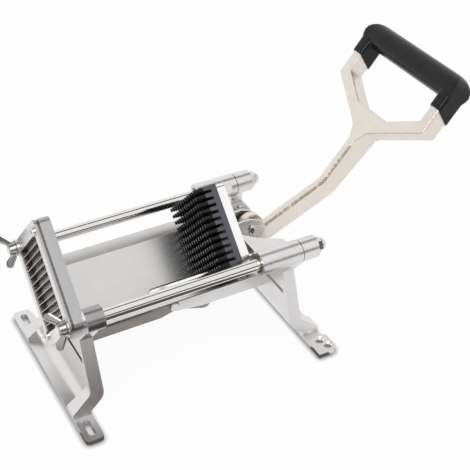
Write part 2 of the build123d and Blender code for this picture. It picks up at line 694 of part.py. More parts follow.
def make_pivot():
    outside = CLEVIS_HALF + PIVOT_WASHER_T
    shank = pin(-outside, outside + PIVOT_NUT_T, PIVOT_D, PIVOT)
    head = slab(Pos(*PIVOT) * hexagon(PIVOT_HEAD_FLATS), -outside - PIVOT_HEAD_T, -outside)
    keep("pivot_bolt", shank + head)
    nut = slab(Pos(*PIVOT) * hexagon(PIVOT_HEAD_FLATS), outside, outside + PIVOT_NUT_T)
    keep("pivot_nut", nut - pin(outside, outside + PIVOT_NUT_T, PIVOT_D + 2 * FIT, PIVOT))
    hole = PIVOT_D + 2 * FIT
    for name, side in SIDES.items():
        low, high = sorted((side * CLEVIS_HALF, side * outside))
        keep(f"pivot_washer_{name}", pin(low, high, PIVOT_WASHER_D, PIVOT) - pin(low, high, hole, PIVOT))
        low, high = sorted((side * (LEVER_T / 2 + 2 * AIR), side * EAR_IN))
        keep(f"pivot_spacer_{name}", pin(low, high, PIVOT_WASHER_D, PIVOT) - pin(low, high, hole, PIVOT))


# ---- lever, handle and grip

def loop_plane(lift=0.0):
    """Plane of the handle loop: sketch x is Y, sketch y climbs from the arms to the grip."""
    lean = radians(LOOP_LEAN)
    origin = from_pivot(LOOP_AT)
    normal = (sin(lean), 0, -cos(lean))
    return Plane(origin=(origin[0] + lift * normal[0], 0, ROD_HEIGHT + origin[1] + lift * normal[2]),
                 x_dir=(0, 1, 0), z_dir=normal)


def loop_shape():
    """Outline of the D-shaped loop, open where the grip closes it."""
    outer = ARM_Y + ARM_W / 2
    inner = ARM_Y - ARM_W / 2
    right = [(LEVER_T / 2, ROOT_U), THROAT, (outer, SHOULDER_U), (outer, ARM_END),
             (inner, ARM_END), (inner, ARMPIT_U), (LOOP_FLOOR_Y, LOOP_FLOOR_U)]
    left = [(-y, u) for y, u in reversed(right)]
    shape = make_face(Polyline(*right, *left, close=True))
    throat = shape.vertices().filter_by(lambda v: abs(v.Y - THROAT[1]) < 0.1)
    shape = fillet(throat, THROAT_ROUND)
    corners = shape.vertices().filter_by(lambda v: LOOP_FLOOR_U - 1 < v.Y < ARM_END - 1)
    return fillet(corners, LOOP_ROUND)


def grip_path(drop):
    """U-shaped path from arm to arm, starting below the arms' ends by drop."""
    return loop_plane() * FilletPolyline((ARM_Y, -drop), (ARM_Y, GRIP_RISE), (-ARM_Y, GRIP_RISE),
                                         (-ARM_Y, -drop), radius=CORE_BEND)


def swept(path, diameter):
    start = Plane(origin=path @ 0, z_dir=path % 0)
    return sweep(start * Circle(diameter / 2), path=path)


def grip_sleeve(side):
    """Square sleeve round one arm, from its slanted end up to the bar of the grip."""
    width = ARM_W + 2 * SLEEVE_WALL
    deep = LOOP_DEPTH / 2 + SLEEVE_BACK_WALL
    origin = loop_plane().origin + Vector(0, side * ARM_Y, 0)
    view = Plane(origin=origin, x_dir=loop_plane().z_dir, z_dir=(0, -1, 0))
    shape = make_face(Polyline((-deep, SLEEVE_FRONT), (-deep, GRIP_RISE), (deep, GRIP_RISE),
                               (deep, SLEEVE_BACK), close=True))
    sleeve = extrude(view * shape, amount=width / 2, both=True)
    lengthwise = Axis((0, 0, 0), tuple(loop_plane().y_dir))
    return fillet(sleeve.edges().filter_by(lengthwise), SLEEVE_ROUND)


def make_grip():
    """Round bar with a square sleeve at each end, its outer corners rounded off."""
    half = ARM_Y + ARM_W / 2 + SLEEVE_WALL
    across_bar = Plane(origin=(loop_plane() * Pos(-half, GRIP_RISE, 0)).position, z_dir=(0, 1, 0))
    body = extrude(across_bar * Circle(GRIP_D / 2), amount=2 * half)
    body += grip_sleeve(-1) + grip_sleeve(1)
    top = GRIP_RISE + GRIP_D / 2
    outline = make_face(Polyline((-half, -GRIP_D), (-half, top), (half, top), (half, -GRIP_D), close=True))
    outline = fillet(outline.vertices().group_by(Axis.Y)[-1], GRIP_CORNER)
    body &= extrude(loop_plane() * outline, amount=GRIP_D, both=True)
    socket_length = ARM_END + FIT + GRIP_D
    for side in SIDES.values():
        socket = Pos(side * ARM_Y, ARM_END + FIT - socket_length / 2) * Rectangle(
            ARM_W + 2 * FIT, socket_length)
        body -= extrude(loop_plane() * socket, amount=LOOP_DEPTH / 2 + FIT, both=True)
    keep("grip", body - swept(grip_path(0), CORE_D + 2 * FIT))


def make_lever():
    hip, bend, neck, knee = (from_pivot(p) for p in (HIP, BEND, NECK, KNEE))
    body = mid_slab(bar(PIVOT, HUB_R, hip, HIP_R), LEVER_T)
    body += mid_slab(bar(hip, HIP_R, bend, BEND_R), LEVER_T)
    body += mid_slab(bar(bend, BEND_R, neck, NECK_R), LEVER_T)
    body += mid_slab(bar(hip, HIP_R, knee, KNEE_R), TAIL_T)
    body += mid_slab(bar(knee, KNEE_R, TAIL_AT, TAIL_R), TAIL_T)
    body += extrude(loop_plane() * loop_shape(), amount=LOOP_DEPTH / 2, both=True)
    bush_d = PIVOT_D + 2 * FIT + 2 * BUSH_WALL
    body -= pin(-LEVER_T / 2, LEVER_T / 2, bush_d + 2 * FIT, PIVOT)
    body -= swept(grip_path(CORE_IN), CORE_D + 2 * FIT)
    keep("lever", body)
    half = LEVER_T / 2 + AIR
    keep("lever_bush", pin(-half, half, bush_d, PIVOT) - pin(-half, half, PIVOT_D + 2 * FIT, PIVOT))
    keep("handle_core", swept(grip_path(CORE_IN), CORE_D))


# ---- fulcrum linkage under the tray

def make_fulcrum():
    """Pin through the arms of the rear casting and the tie bars, with a nut at the far side."""
    end = TIE_OUT + FULCRUM_NUT_T
    head = pin(-TIE_OUT - FULCRUM_HEAD_T, -TIE_OUT, FULCRUM_HEAD_D, FULCRUM)
    keep("fulcrum_pin", pin(-TIE_OUT, end, FULCRUM_D, FULCRUM) + head)
    nut = slab(Pos(*FULCRUM) * hexagon(FULCRUM_NUT_FLATS), TIE_OUT, end)
    keep("fulcrum_nut", nut - pin(TIE_OUT, end, FULCRUM_D + 2 * FIT, FULCRUM))


def tie_bar(side):
    """Steel strip from the front casting to the fulcrum, narrower at the fulcrum end."""
    web = FRONT_IN - WEB_STEP
    step = FULCRUM[0] - TIE_STEP
    strip = make_face(Polyline(
        (web, FULCRUM_Z - TIE_W), (web, FULCRUM_Z + 1), (FULCRUM[0], FULCRUM_Z + TIE_END_W / 2),
        (FULCRUM[0], FULCRUM_Z - TIE_END_W), (step, FULCRUM_Z - TIE_W), close=True))
    strip += Pos(*FULCRUM) * Circle(TIE_END_W)
    bar_solid = slab(strip, TIE_IN, TIE_OUT)
    foot = make_face(Polyline((web, FULCRUM_Z - TIE_W), (web + TIE_T, FULCRUM_Z - TIE_W),
                              (web + TIE_T, FULCRUM_Z + 1), (web, FULCRUM_Z + 1), close=True))
    bar_solid += slab(foot, TIE_IN, TIE_IN + TIE_FOOT)
    if side < 0:
        bar_solid = mirror(bar_solid, about=Plane.XZ)
    bar_solid -= pin(-TIE_OUT, TIE_OUT, FULCRUM_D + 2 * FIT, FULCRUM)
    y, z = tie_screw_at(side)
    return bar_solid - rod(web, web + TIE_T, TIE_SCREW_D + 2 * FIT, y=y, z=z)


def make_ties():
    screws = []
    seat = FRONT_IN - WEB_STEP + TIE_T
    for name, side in SIDES.items():
        keep(f"tie_bar_{name}", tie_bar(side))
        y, z = tie_screw_at(side)
        head = rod(seat, seat + TIE_SCREW_HEAD_T, TIE_SCREW_HEAD_D, y=y, z=z)
        screws.append(rod(FRONT_IN - TIE_SCREW_LENGTH, seat, TIE_SCREW_D, y=y, z=z) + head)
    keep("tie_screws", *screws)


def make_link():
    """Two plates that swing on the fulcrum and carry the end of the lever's tail."""
    inner = LINK_GAP / 2
    outer = inner + LINK_T
    rivets = []
    for name, side in SIDES.items():
        low, high = sorted((side * inner, side * outer))
        link = slab(bar(FULCRUM, LINK_R, TAIL_AT, LINK_R), low, high)
        link -= pin(low, high, FULCRUM_D + 2 * FIT, FULCRUM)
        link -= pin(low, high, RIVET_D + 2 * FIT, TAIL_AT)
        keep(f"link_plate_{name}", link)
        low, high = sorted((side * (TAIL_T / 2 + AIR), side * outer))
        rivets.append(pin(low, high, RIVET_D, TAIL_AT))
    keep("link_rivets", *rivets)


make_head()
make_wing_nuts()
make_rods()
make_front_leg()
make_rear_leg()
make_tray()
make_carriage()
make_pusher()
make_clevis()
make_pivot()
make_lever()
make_grip()
make_fulcrum()
make_ties()
make_link()

for node, solids in NODES.items():
    pieces = []
    for solid in solids:
        pieces.extend(solid.solids())
    export_step(Compound(pieces), f"parts/{node}.step")
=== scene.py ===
"""Visual model of a lever-operated french fry cutter, dressed round its CAD frame."""

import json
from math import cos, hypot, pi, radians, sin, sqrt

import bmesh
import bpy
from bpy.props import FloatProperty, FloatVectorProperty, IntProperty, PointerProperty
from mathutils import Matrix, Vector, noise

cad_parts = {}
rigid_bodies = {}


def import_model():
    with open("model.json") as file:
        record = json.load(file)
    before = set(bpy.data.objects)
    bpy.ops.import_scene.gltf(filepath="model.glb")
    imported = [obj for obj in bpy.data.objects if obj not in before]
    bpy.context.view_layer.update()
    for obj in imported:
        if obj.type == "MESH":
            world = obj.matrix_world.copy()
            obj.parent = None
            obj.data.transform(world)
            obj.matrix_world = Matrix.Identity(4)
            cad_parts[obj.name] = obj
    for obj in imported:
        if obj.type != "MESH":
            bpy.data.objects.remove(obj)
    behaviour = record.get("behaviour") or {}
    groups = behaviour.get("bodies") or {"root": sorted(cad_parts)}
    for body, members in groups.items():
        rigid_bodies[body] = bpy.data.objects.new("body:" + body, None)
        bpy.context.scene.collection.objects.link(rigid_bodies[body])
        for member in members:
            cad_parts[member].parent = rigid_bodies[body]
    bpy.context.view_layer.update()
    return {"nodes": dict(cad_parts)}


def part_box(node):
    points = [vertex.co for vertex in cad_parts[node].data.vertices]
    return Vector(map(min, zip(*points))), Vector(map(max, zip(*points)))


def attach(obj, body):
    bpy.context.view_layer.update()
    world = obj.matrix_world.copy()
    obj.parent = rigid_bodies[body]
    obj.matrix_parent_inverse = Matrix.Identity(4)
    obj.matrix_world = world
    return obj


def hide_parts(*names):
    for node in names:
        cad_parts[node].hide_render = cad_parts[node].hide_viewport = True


bl_info = {
    "name": "French fry cutter",
    "version": (1, 0, 0),
    "blender": (4, 5, 0),
    "location": "3D View > Sidebar > Fry cutter",
    "description": "Builds the visible pieces and finishes of a lever-operated french fry cutter",
    "category": "Object",
}

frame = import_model()

MM = 0.001
MICRON = 0.000001
SIDES = ("near", "far")
ROD_AXIS = {side: (Vector(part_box(f"guide_rod_{side}")[0]) + Vector(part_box(f"guide_rod_{side}")[1])) / 2
            for side in SIDES}
ROD_HEIGHT = ROD_AXIS["near"].z
HEAD_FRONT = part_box("blade_cassette")[0][0]
BLADE_FRONT = HEAD_FRONT + 0.4 * MM         # cutting edges of the front row
PUSHER_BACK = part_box("pusher_block")[1][0]
BOSS_REACH = (6.0 * MM, 12.5 * MM)          # surfaces of the front leg's bosses, from a rod's axis
SHAFT_END = (0.318, 0.158)                  # X and Z where the lever's shaft meets its loop


# ---------------------------------------------------------------- sizes and colours

def length(name, description, millimetres):
    return FloatProperty(name=name, description=description, default=millimetres * MM,
                         unit="LENGTH", precision=5)


def colour(name, description, value):
    return FloatVectorProperty(name=name, description=description, default=value,
                               subtype="COLOR", size=3, min=0.0, max=1.0)


class CutterGrid(bpy.types.PropertyGroup):
    """Sizes of the blade grid and of the pusher that fits it."""
    cells: IntProperty(name="Fries a side", description="Cells along each side of the grid", default=12)
    cell: length("Fry width", "Pitch of the blades and of the pusher's fingers", 6.35)
    blade: length("Blade thickness", "Thickness of a blade", 0.7)
    edge: length("Ground edge", "Depth of a blade's ground cutting edge", 1.1)
    finger: length("Finger width", "Width of a pusher finger at its root", 4.2)
    finger_length: length("Finger length", "Length of a pusher finger", 16.0)
    finger_tip: length("Finger tip", "Width of a pusher finger at its tip", 3.1)
    base: length("Pusher base", "Thickness of the pusher's base", 6.0)


class CutterEdges(bpy.types.PropertyGroup):
    """How far edges are broken, and how rough the lever's casting is."""
    casting: length("Casting edges", "Width of the rounded edges of the leg castings", 1.0)
    plate: length("Plate edges", "Width of the broken edges of the head's plates", 0.35)
    sheet: length("Sheet edges", "Width of the broken edges of bent sheet", 0.3)
    fastener: length("Fastener edges", "Width of the broken edges of nuts and screws", 0.3)
    lever_grain: length("Lever grain", "Height of the grain left by the mould on the lever", 0.1)
    thread: length("Thread pitch", "Pitch of the thread on the rods' studs", 1.25)


class CutterColours(bpy.types.PropertyGroup):
    """Base colours of the finishes."""
    casting: colour("Castings", "Tumbled cast aluminium", (0.75, 0.735, 0.73))
    lever: colour("Lever", "Sand-cast aluminium of the lever", (0.81, 0.762, 0.70))
    head: colour("Head, sides", "Satin sides of the head's plates", (0.47, 0.465, 0.475))
    face: colour("Head, faces", "Bright faces of the head's plates", (0.74, 0.735, 0.73))
    sheet: colour("Sheet steel", "Stainless sheet of tray and bracket", (0.66, 0.65, 0.64))
    rod: colour("Guide rods", "Ground stainless rod", (0.78, 0.76, 0.74))
    nickel: colour("Fasteners", "Nickel-plated fasteners", (0.70, 0.68, 0.65))
    # partly painted shade: the strip steel is dull, and its colour is darkened further for the shade under
    # the tray
    strip: colour("Strip steel", "Dull strip steel of the linkage", (0.30, 0.275, 0.26))
    bronze: colour("Bushes", "Sintered bronze", (0.30, 0.25, 0.20))
    blade: colour("Blades", "Side of a hardened blade", (0.20, 0.172, 0.155))
    edge: colour("Ground edges", "Ground cutting edge of a blade", (0.80, 0.77, 0.74))
    # painted highlight: near-white colour for the edge faces of the carriage's plate
    rim: colour("Carriage rim", "Bright machined rim of the carriage's plate", (0.93, 0.925, 0.92))
    pusher: colour("Pusher", "Moulded plastic of the pusher", (0.005, 0.005, 0.006))
    # painted sheen: greyer colour for the band round the pusher's base, standing in for a reflection there
    rubbed: colour("Pusher, rubbed", "Greyer plastic round the pusher's base", (0.085, 0.085, 0.10))
    grip: colour("Grip", "Glossy black moulding of the grip", (0.010, 0.010, 0.011))
    floor: colour("Floor", "Plain pale floor", (0.93, 0.93, 0.93))


# ---------------------------------------------------------------- finishes

class Finish:
    """A material under construction: its nodes are added and linked by short calls."""

    def __init__(self, name):
        self.material = bpy.data.materials.new(name)
        self.material.use_nodes = True
        self.tree = self.material.node_tree
        self.shader = self.tree.nodes["Principled BSDF"]
        self.place = self.tree.nodes.new("ShaderNodeTexCoord").outputs["Object"]

    def set(self, **values):
        for label, value in values.items():
            self.shader.inputs[label.replace("_", " ")].default_value = value

    def node(self, kind, values=None, **settings):
        made = self.tree.nodes.new(kind)
        for key, value in settings.items():
            setattr(made, key, value)
        for key, value in (values or {}).items():
            if isinstance(value, bpy.types.NodeSocket):
                self.tree.links.new(value, made.inputs[key])
            else:
                made.inputs[key].default_value = value
        return made

    def noise(self, scale, detail=3.0, stretch=None, roughness=0.5):
        place = self.place
        if stretch:
            place = self.node("ShaderNodeMapping", {"Vector": place, "Scale": stretch}).outputs[0]
        return self.node("ShaderNodeTexNoise", {"Vector": place, "Scale": scale, "Detail": detail,
                                                "Roughness": roughness}).outputs["Fac"]

    def span(self, value, low, high, start=0.3, end=0.7):
        made = self.node("ShaderNodeMapRange", {"Value": value, "From Min": start, "From Max": end,
                                                "To Min": low, "To Max": high})
        return made.outputs["Result"]

    def blend(self, factor, first, second):
        made = self.node("ShaderNodeMix", data_type="RGBA")
        sockets = {"Factor": factor, "A": first, "B": second}
        for socket in made.inputs:
            if socket.enabled and socket.name in sockets:
                value = sockets[socket.name]
                if isinstance(value, bpy.types.NodeSocket):
                    self.tree.links.new(value, socket)
                elif socket.type == "RGBA":
                    socket.default_value = (*value[:3], 1.0)
                else:
                    socket.default_value = value
        return next(socket for socket in made.outputs if socket.enabled)

    def feed(self, label, socket):
        self.tree.links.new(socket, self.shader.inputs[label])

    def bump(self, height, distance):
        return self.node("ShaderNodeBump", {"Height": height, "Distance": distance}).outputs["Normal"]


def shade(value, factor):
    return tuple(min(1.0, part * factor) for part in value)


# name: colour, share of it, roughness, its spread, grain scale, grain depth, stretch, variation
METALS = {
    "cast_metal": ("casting", 1.0, 0.31, 0.035, 1500.0, 6, None, 0.03),
    # painted shade: the front leg's bosses take the casting colour at about half strength; their grain runs
    # round them like turning marks
    "turned_boss": ("casting", 0.52, 0.30, 0.04, 1500.0, 6, (0.15, 1.0, 1.0), 0.05),
    # painted highlight on the edge faces of the carriage's plate
    "bright_rim": ("rim", 1.0, 0.22, 0.03, 1500.0, 4, None, 0.01),
    "head_metal": ("head", 1.0, 0.32, 0.04, 1500.0, 12, (1.0, 0.15, 0.15), 0.05),
    "head_face": ("face", 1.0, 0.28, 0.04, 1500.0, 12, (1.0, 0.2, 1.0), 0.05),
    "sheet_steel": ("sheet", 1.0, 0.25, 0.02, 2200.0, 1, (0.05, 1.0, 1.0), 0.015),
    "rod_steel": ("rod", 1.0, 0.09, 0.02, 3000.0, 4, (1.0, 0.1, 0.1), 0.02),
    "nickel": ("nickel", 1.0, 0.17, 0.04, 1200.0, 8, None, 0.05),
    # painted shade: the wing nuts take the nickel at half strength, standing in for the shade in their
    # dished wings and hub
    "wing_nickel": ("nickel", 0.50, 0.19, 0.05, 1200.0, 8, None, 0.12),
    # partly painted shade: dull strip steel, darkened further for the shade under the tray
    "strip_steel": ("strip", 1.0, 0.36, 0.06, 1400.0, 10, (0.1, 1.0, 1.0), 0.05),
    "bronze": ("bronze", 1.0, 0.38, 0.06, 2500.0, 10, None, 0.05),
}
PATCH = 60.0            # scale of the slow patches of colour on every metal


def metal(name, value, rough, spread, grain, depth, stretch=None, variation=0.05):
    """Bare metal: slow colour patches, uneven polish and a fine surface grain."""
    finish = Finish(name)
    finish.set(Metallic=1.0)
    slow = finish.noise(PATCH, 3.0)
    finish.feed("Base Color", finish.blend(finish.span(slow, 0.0, 1.0), shade(value, 1 - variation),
                                           shade(value, 1 + variation)))
    fine = finish.noise(grain, 4.0, stretch)
    worn = finish.noise(PATCH * 4, 3.0, stretch)
    finish.feed("Roughness", finish.span(worn, rough - spread, rough + spread))
    finish.feed("Normal", finish.bump(fine, depth * MICRON))
    return finish


def make_finishes(context):
    colours = context.scene.cutter_colours
    pick = {key: tuple(getattr(colours, key)) for key in CutterColours.__annotations__}
    made = {name: metal(name, shade(pick[key], share), *rest).material
            for name, (key, share, *rest) in METALS.items()}
    made["lever_metal"] = lever_finish(pick["lever"])
    made["blade_steel"] = blade_finish(pick["blade"], pick["edge"], context.scene.cutter_grid.edge)
    made["pusher_plastic"] = pusher_finish(pick["pusher"], pick["rubbed"])
    made["grip_rubber"] = grip_finish(pick["grip"])
    return made


def lever_finish(value):
    """Grainy sand casting, brown where its near upper edge is torn."""
    finish = metal("lever_metal", value, 0.42, 0.05, 1300.0, 40, variation=0.03)
    torn = finish.node("ShaderNodeAttribute", attribute_name="nicks").outputs["Fac"]
    clean = finish.shader.inputs["Base Color"].links[0].from_socket
    brown = tuple(part * share for part, share in zip(value, (0.42, 0.36, 0.30)))
    finish.feed("Base Color", finish.blend(finish.span(torn, 0.0, 1.0, 0.12, 0.75), clean, brown))
    return finish.material


def blade_finish(side, edge, depth):
    """Dark hardened sides with scratches, and a bright band where the edge is ground."""
    finish = Finish("blade_steel")
    finish.set(Metallic=1.0)
    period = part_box("blades_rear")[0][0] - BLADE_FRONT
    along = finish.node("ShaderNodeSeparateXYZ", {"Vector": finish.place}).outputs["X"]
    for operation, value in (("SUBTRACT", BLADE_FRONT - 0.01 * MM), ("FLOORED_MODULO", period)):
        along = finish.node("ShaderNodeMath", {0: along, 1: value}, operation=operation).outputs[0]
    ground = finish.span(along, 1.0, 0.0, depth * 0.7, depth)
    grime = finish.noise(900.0, 5.0, roughness=0.65)
    dull = finish.blend(finish.span(grime, 0.0, 1.0, 0.35, 0.65), shade(side, 0.62), shade(side, 1.35))
    finish.feed("Base Color", finish.blend(ground, dull, edge))
    finish.feed("Roughness", finish.span(grime, 0.30, 0.46))
    finish.feed("Normal", finish.bump(finish.noise(2200.0, 3.0), 30 * MICRON))
    return finish.material


def pusher_finish(value, rubbed):
    """Moulded black plastic, with a greyer band round its base painted as sheen."""
    finish = Finish("pusher_plastic")
    finish.set(Specular_IOR_Level=0.30)
    outer = finish.node("ShaderNodeAttribute", attribute_name="outer").outputs["Fac"]
    outer = finish.span(outer, 0.0, 1.0, 0.55, 0.95)
    grain = finish.noise(1400.0, 4.0)
    dark = finish.blend(finish.span(grain, 0.0, 1.0), shade(value, 0.8), shade(value, 1.4))
    # painted sheen: the band marked outer is blended towards the greyer colour
    finish.feed("Base Color", finish.blend(outer, dark, rubbed))
    finish.feed("Roughness", finish.span(finish.noise(300.0, 3.0), 0.34, 0.46))
    finish.feed("Normal", finish.bump(grain, 20 * MICRON))
    return finish.material


def grip_finish(value):
    """Glossy black moulding with a faint orange peel and finger marks."""
    finish = Finish("grip_rubber")
    finish.set(Specular_IOR_Level=0.13, Coat_Weight=0.16, Coat_Roughness=0.05)
    marks = finish.noise(130.0, 4.0)
    finish.feed("Base Color", finish.blend(finish.span(marks, 0.0, 1.0), value, shade(value, 1.6)))
    finish.feed("Roughness", finish.span(marks, 0.14, 0.24))
    finish.feed("Normal", finish.bump(finish.noise(420.0, 2.0), 50 * MICRON))
    return finish.material


FINISHES = {}


def finish_of(name):
    if not FINISHES:
        FINISHES.update(make_finishes(bpy.context))
    return FINISHES[name]


# ---------------------------------------------------------------- mesh tools

def body_of(node):
    """Name of the CAD body that carries a node."""
    return frame["nodes"][node].parent.name.split(":", 1)[1]


def merged_copy(node):
    """The node's mesh with its loose triangles joined, as a bmesh."""
    bm = bmesh.new()
    bm.from_mesh(frame["nodes"][node].data)
    bmesh.ops.remove_doubles(bm, verts=bm.verts, dist=2e-6)
    bmesh.ops.dissolve_degenerate(bm, edges=bm.edges, dist=1e-6)
    return bm


def new_piece(name, bm):
    mesh = bpy.data.meshes.new(name)
    bm.to_mesh(mesh)
    bm.free()
    obj = bpy.data.objects.new(name, mesh)
    bpy.context.scene.collection.objects.link(obj)
    return obj


def bake(obj):
    """Turns the object's modifiers into its mesh."""
    bpy.context.view_layer.update()
    graph = bpy.context.evaluated_depsgraph_get()
    mesh = bpy.data.meshes.new_from_object(obj.evaluated_get(graph))
    obj.modifiers.clear()
    old = obj.data
    obj.data = mesh
    bpy.data.meshes.remove(old)
    mesh.name = obj.name


def finish_piece(obj, body, slot, material=None, nodes=()):
    """Gives a finished piece its material, named by its slot unless another is given, and its body."""
    obj.data.materials.clear()
    obj.data.materials.append(finish_of(material or slot))
    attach(obj, body)
    if nodes:
        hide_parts(*nodes)
    return obj


def smooth_by_angle(obj, degrees):
    obj.data.shade_smooth()
    obj.data.set_sharp_from_angle(angle=radians(degrees))


def dressed(node, slot, edge, angle=32.0):
    """A copy of a CAD node whose sharp edges are broken by a small bevel."""
    bm = merged_copy(node)
    bmesh.ops.dissolve_limit(bm, angle_limit=radians(0.6), verts=bm.verts, edges=bm.edges,
                             use_dissolve_boundaries=False)
    obj = new_piece(f"{node}_dressed", bm)
    bevel = obj.modifiers.new("Edges", "BEVEL")
    bevel.width = edge
    bevel.segments = 3
    bevel.limit_method = "ANGLE"
    bevel.angle_limit = radians(angle)
    bevel.miter_outer = "MITER_ARC"
    bevel.use_clamp_overlap = True
    obj.data.shade_smooth()
    weights = obj.modifiers.new("Normals", "WEIGHTED_NORMAL")
    weights.keep_sharp = True
    weights.weight = 80
    bake(obj)
    return finish_piece(obj, body_of(node), slot, nodes=(node,))


def rounded_off(obj, voxel, rounds):
    """Rebuilds a piece in small facets and smooths them, so all its edges are round."""
    remesh = obj.modifiers.new("Facets", "REMESH")
    remesh.mode = "VOXEL"
    remesh.voxel_size = voxel
    smooth = obj.modifiers.new("Round", "SMOOTH")
    smooth.factor = 0.5
    smooth.iterations = rounds
    bake(obj)


def recast(node, slot, voxel, rounds, material=None, shape=None):
    """A copy of a CAD node with all its edges round, as a casting or moulding has them."""
    obj = new_piece(f"{node}_recast", merged_copy(node))
    rounded_off(obj, voxel, rounds)
    if shape:
        shape(obj.data)
    obj.data.shade_smooth()
    return finish_piece(obj, body_of(node), slot, material, (node,))


def repaint(obj, material, chosen):
    """Gives the faces that chosen picks another material."""
    obj.data.materials.append(finish_of(material))
    index = len(obj.data.materials) - 1
    for face in obj.data.polygons:
        if chosen(face.center, face.normal):
            face.material_index = index


def absorb(bm, other):
    """Adds the other bmesh to this one, and frees it."""
    mesh = bpy.data.meshes.new("part")
    other.to_mesh(mesh)
    other.free()
    bm.from_mesh(mesh)
    bpy.data.meshes.remove(mesh)


def lathe(profile, axis, segments=72):
    """A turned shape along X: profile is a list of (x, radius)."""
    bm = bmesh.new()
    turns = [2 * pi * step / segments for step in range(segments)]
    rings = []
    for x, radius in profile:
        if radius == 0:
            rings.append([bm.verts.new((x, axis.y, axis.z))])
        else:
            rings.append([bm.verts.new((x, axis.y + radius * cos(turn), axis.z + radius * sin(turn)))
                          for turn in turns])
    for low, high in zip(rings, rings[1:]):
        for step in range(segments):
            following = (step + 1) % segments
            corners = []
            for ring in (low, high):
                if len(ring) == 1:
                    corners.append((ring[0],))
                else:
                    corners.append((ring[step], ring[following]))
            bm.faces.new((*corners[0], *reversed(corners[1])))
    bmesh.ops.recalc_face_normals(bm, faces=bm.faces)
    return bm


def loft(outlines):
    """A closed solid through outlines that have the same number of points."""
    bm = bmesh.new()
    rings = [[bm.verts.new(point) for point in outline] for outline in outlines]
    for low, high in zip(rings, rings[1:]):
        for step in range(len(low)):
            after = (step + 1) % len(low)
            bm.faces.new((low[step], low[after], high[after], high[step]))
    for ring in (rings[0], rings[-1]):
        bm.faces.new(ring)
    bmesh.ops.recalc_face_normals(bm, faces=bm.faces)
    return bm


def prism(points, depth, place):
    """A flat outline pushed out by depth along its own Z, then set in place."""
    return loft([[place @ Vector((x, y, z)) for x, y in points] for z in (0, depth)])


def rounded_square(half, corner, steps):
    """Points round a square whose corners are arcs."""
    points = []
    for turn, (y, z) in enumerate(((1, 1), (-1, 1), (-1, -1), (1, -1))):
        for step in range(steps + 1):
            angle = radians(90 * turn + 90 / steps * step)
            points.append(((half - corner) * y + corner * cos(angle),
                           (half - corner) * z + corner * sin(angle)))
    return points


# ---------------------------------------------------------------- geometry nodes

def repeat_tree(name, points):
    """A tree that copies the piece it is given onto points, then joins and finishes it."""
    tree = bpy.data.node_groups.new(name, "GeometryNodeTree")
    for label, kind in (("Item", "Geometry"), ("Count", "Int"), ("Pitch", "Float")):
        tree.interface.new_socket(label, in_out="INPUT", socket_type=f"NodeSocket{kind}")
    tree.interface.new_socket("Finish", in_out="INPUT", socket_type="NodeSocketMaterial")
    tree.interface.new_socket("Result", in_out="OUTPUT", socket_type="NodeSocketGeometry")
    nodes, links = tree.nodes, tree.links
    start, end = nodes.new("NodeGroupInput"), nodes.new("NodeGroupOutput")
    copies = nodes.new("GeometryNodeInstanceOnPoints")
    real = nodes.new("GeometryNodeRealizeInstances")
    paint = nodes.new("GeometryNodeSetMaterial")
    links.new(points(nodes, links, start), copies.inputs["Points"])
    links.new(start.outputs["Item"], copies.inputs["Instance"])
    links.new(copies.outputs["Instances"], real.inputs["Geometry"])
    links.new(real.outputs["Geometry"], paint.inputs["Geometry"])
    links.new(start.outputs["Finish"], paint.inputs["Material"])
    links.new(paint.outputs["Geometry"], end.inputs["Result"])
    return tree


def math_node(nodes, links, operation, first, second):
    made = nodes.new("ShaderNodeMath")
    made.operation = operation
    for socket, value in zip(made.inputs, (first, second)):
        if isinstance(value, bpy.types.NodeSocket):
            links.new(value, socket)
        else:
            socket.default_value = value
    return made.outputs[0]


def span_of_row(nodes, links, start):
    """Distance from the first to the last of Count points that stand Pitch apart."""
    gaps = math_node(nodes, links, "SUBTRACT", start.outputs["Count"], 1.0)
    return math_node(nodes, links, "MULTIPLY", gaps, start.outputs["Pitch"])


def row_points(nodes, links, start):
    """Points in a row along Z, centred on the axis of the head."""
    line = nodes.new("GeometryNodeMeshLine")
    line.mode = "OFFSET"
    links.new(start.outputs["Count"], line.inputs["Count"])
    step = nodes.new("ShaderNodeCombineXYZ")
    links.new(start.outputs["Pitch"], step.inputs["Z"])
    links.new(step.outputs[0], line.inputs["Offset"])
    begin = nodes.new("ShaderNodeCombineXYZ")
    span = span_of_row(nodes, links, start)
    links.new(math_node(nodes, links, "MULTIPLY", span, -0.5), begin.inputs["Z"])
    links.new(begin.outputs[0], line.inputs["Start Location"])
    return line.outputs["Mesh"]


def grid_points(nodes, links, start):
    """Points in a square field, in the plane across X."""
    grid = nodes.new("GeometryNodeMeshGrid")
    span = span_of_row(nodes, links, start)
    for axis in "XY":
        links.new(span, grid.inputs[f"Size {axis}"])
        links.new(start.outputs["Count"], grid.inputs[f"Vertices {axis}"])
    turn = nodes.new("GeometryNodeTransform")
    turn.inputs["Rotation"].default_value = (0.0, pi / 2, 0.0)
    links.new(grid.outputs["Mesh"], turn.inputs["Geometry"])
    return turn.outputs["Geometry"]


def repeated(name, bm, tree, values):
    """Runs a repeating tree on a mesh and keeps the result as a plain mesh."""
    obj = new_piece(name, bm)
    modifier = obj.modifiers.new("Repeat", "NODES")
    modifier.node_group = tree
    for item in tree.interface.items_tree:
        if item.in_out == "INPUT" and item.name in values:
            modifier[item.identifier] = values[item.name]
    bake(obj)
    return obj


# ---------------------------------------------------------------- pieces

class CutterOperator:
    """What the building operators share."""
    bl_options = {"REGISTER", "UNDO"}

    def execute(self, context):
        self.build(context)
        return {"FINISHED"}


